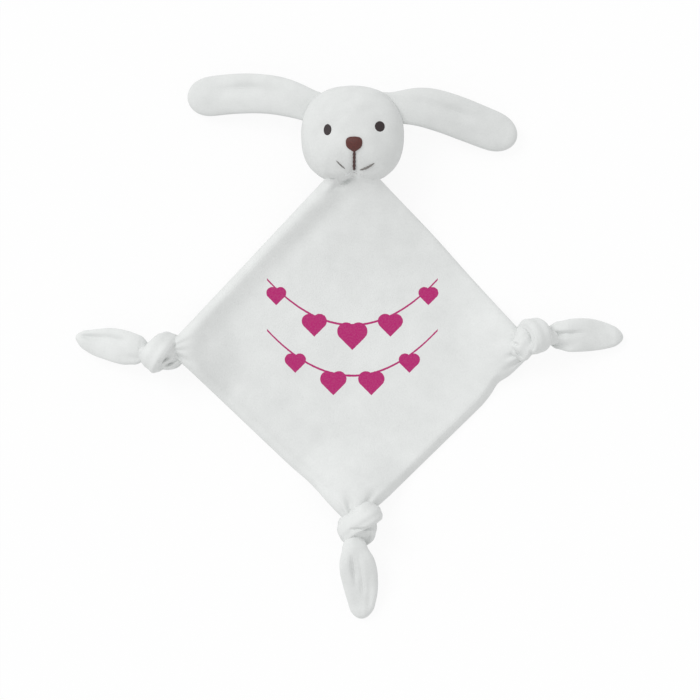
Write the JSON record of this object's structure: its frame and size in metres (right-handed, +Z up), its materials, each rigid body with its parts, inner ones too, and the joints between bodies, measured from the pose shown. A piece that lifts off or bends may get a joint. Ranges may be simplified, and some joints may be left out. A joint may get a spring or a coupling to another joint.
{
  "type": "comfort blanket",
  "caption": "Rabbit comforter: a square velour blanket with knotted corners and a small stuffed head with long floppy ears sewn to the top corner",
  "frame": {"origin": "middle of the blanket's flat underside, on the surface that the toy lies on", "axes": "+Z up out of the face, +Y from the blanket towards the head, +X to the viewer's right, which is the rabbit's left"},
  "size_m": [0.4119, 0.4086, 0.0577],
  "materials": {
    "velour": "soft white velour jersey",
    "stuffing": "white polyester fibre filling",
    "sewing_thread": "white sewing thread",
    "eye_thread": "very dark brown satin stitch embroidery",
    "nose_thread": "dark reddish brown satin stitch embroidery",
    "mouth_thread": "dark brown embroidery thread",
    "smile_thread": "thin grey embroidery thread"
  },
  "bodies": {
    "blanket": {"blanket_front_panel": "velour", "blanket_back_panel": "velour", "blanket_edge_seam": "sewing_thread"},
    "neck": {"neck_gather": "velour", "neck_stitching": "sewing_thread"},
    "head": {"head_front_panel": "velour", "head_back_panel": "velour", "head_stuffing": "stuffing", "left_eye": "eye_thread", "right_eye": "eye_thread", "nose": "nose_thread", "mouth_line": "mouth_thread", "left_smile": "smile_thread", "right_smile": "smile_thread"},
    "left_ear": {"left_ear_front": "velour", "left_ear_back": "velour", "left_ear_filling": "stuffing"},
    "right_ear": {"right_ear_front": "velour", "right_ear_back": "velour", "right_ear_filling": "stuffing"},
    "left_corner": {"left_knot": "velour"},
    "left_end": {"left_tail": "velour"},
    "right_corner": {"right_knot": "velour"},
    "right_end": {"right_tail": "velour"},
    "bottom_corner": {"bottom_knot": "velour"},
    "bottom_end": {"bottom_tail": "velour"}
  },
  "joints": [
    {"name": "neck_nod", "type": "hinge", "parent": "blanket", "child": "neck", "pos_m": [0.0011, 0.11115, 0.03741], "axis": [1, 0, 0], "range_deg": [-60, 125]},
    {"name": "head_turn", "type": "hinge", "parent": "neck", "child": "head", "pos_m": [0.0011, 0.1523, 0.0275], "axis": [0, -0.9272, 0.3746], "range_deg": [-40, 40]},
    {"name": "left_ear_flop", "type": "hinge", "parent": "head", "child": "left_ear", "pos_m": [-0.03617, 0.17744, 0.0275], "axis": [0.5592, 0.829, 0], "range_deg": [-50, 105]},
    {"name": "right_ear_flop", "type": "hinge", "parent": "head", "child": "right_ear", "pos_m": [0.03937, 0.17575, 0.0275], "axis": [0.5225, -0.8526, 0], "range_deg": [-50, 105]},
    {"name": "left_corner_bend", "type": "hinge", "parent": "blanket", "child": "left_corner", "pos_m": [-0.12756, -0.01044, 0.01814], "axis": [0.0872, 0.9962, 0], "range_deg": [-60, 65]},
    {"name": "right_corner_bend", "type": "hinge", "parent": "blanket", "child": "right_corner", "pos_m": [0.12246, -0.0023, 0.01402], "axis": [0.1392, -0.9903, 0], "range_deg": [-60, 65]},
    {"name": "bottom_corner_bend", "type": "hinge", "parent": "blanket", "child": "bottom_corner", "pos_m": [0.00075, -0.12304, 0.0189], "axis": [-0.9976, -0.0698, 0], "range_deg": [-60, 65]},
    {"name": "left_tail_bend", "type": "hinge", "parent": "left_corner", "child": "left_end", "pos_m": [-0.16044, -0.00756, 0.01814], "axis": [0.2079, 0.9781, 0], "range_deg": [-70, 65]},
    {"name": "right_tail_bend", "type": "hinge", "parent": "right_corner", "child": "right_end", "pos_m": [0.15514, 0.0023, 0.01402], "axis": [-0.0436, -0.999, 0], "range_deg": [-70, 65]},
    {"name": "bottom_tail_bend", "type": "hinge", "parent": "bottom_corner", "child": "bottom_end", "pos_m": [0.00305, -0.15596, 0.0189], "axis": [-0.9966, -0.0819, 0], "range_deg": [-70, 65]}
  ]
}
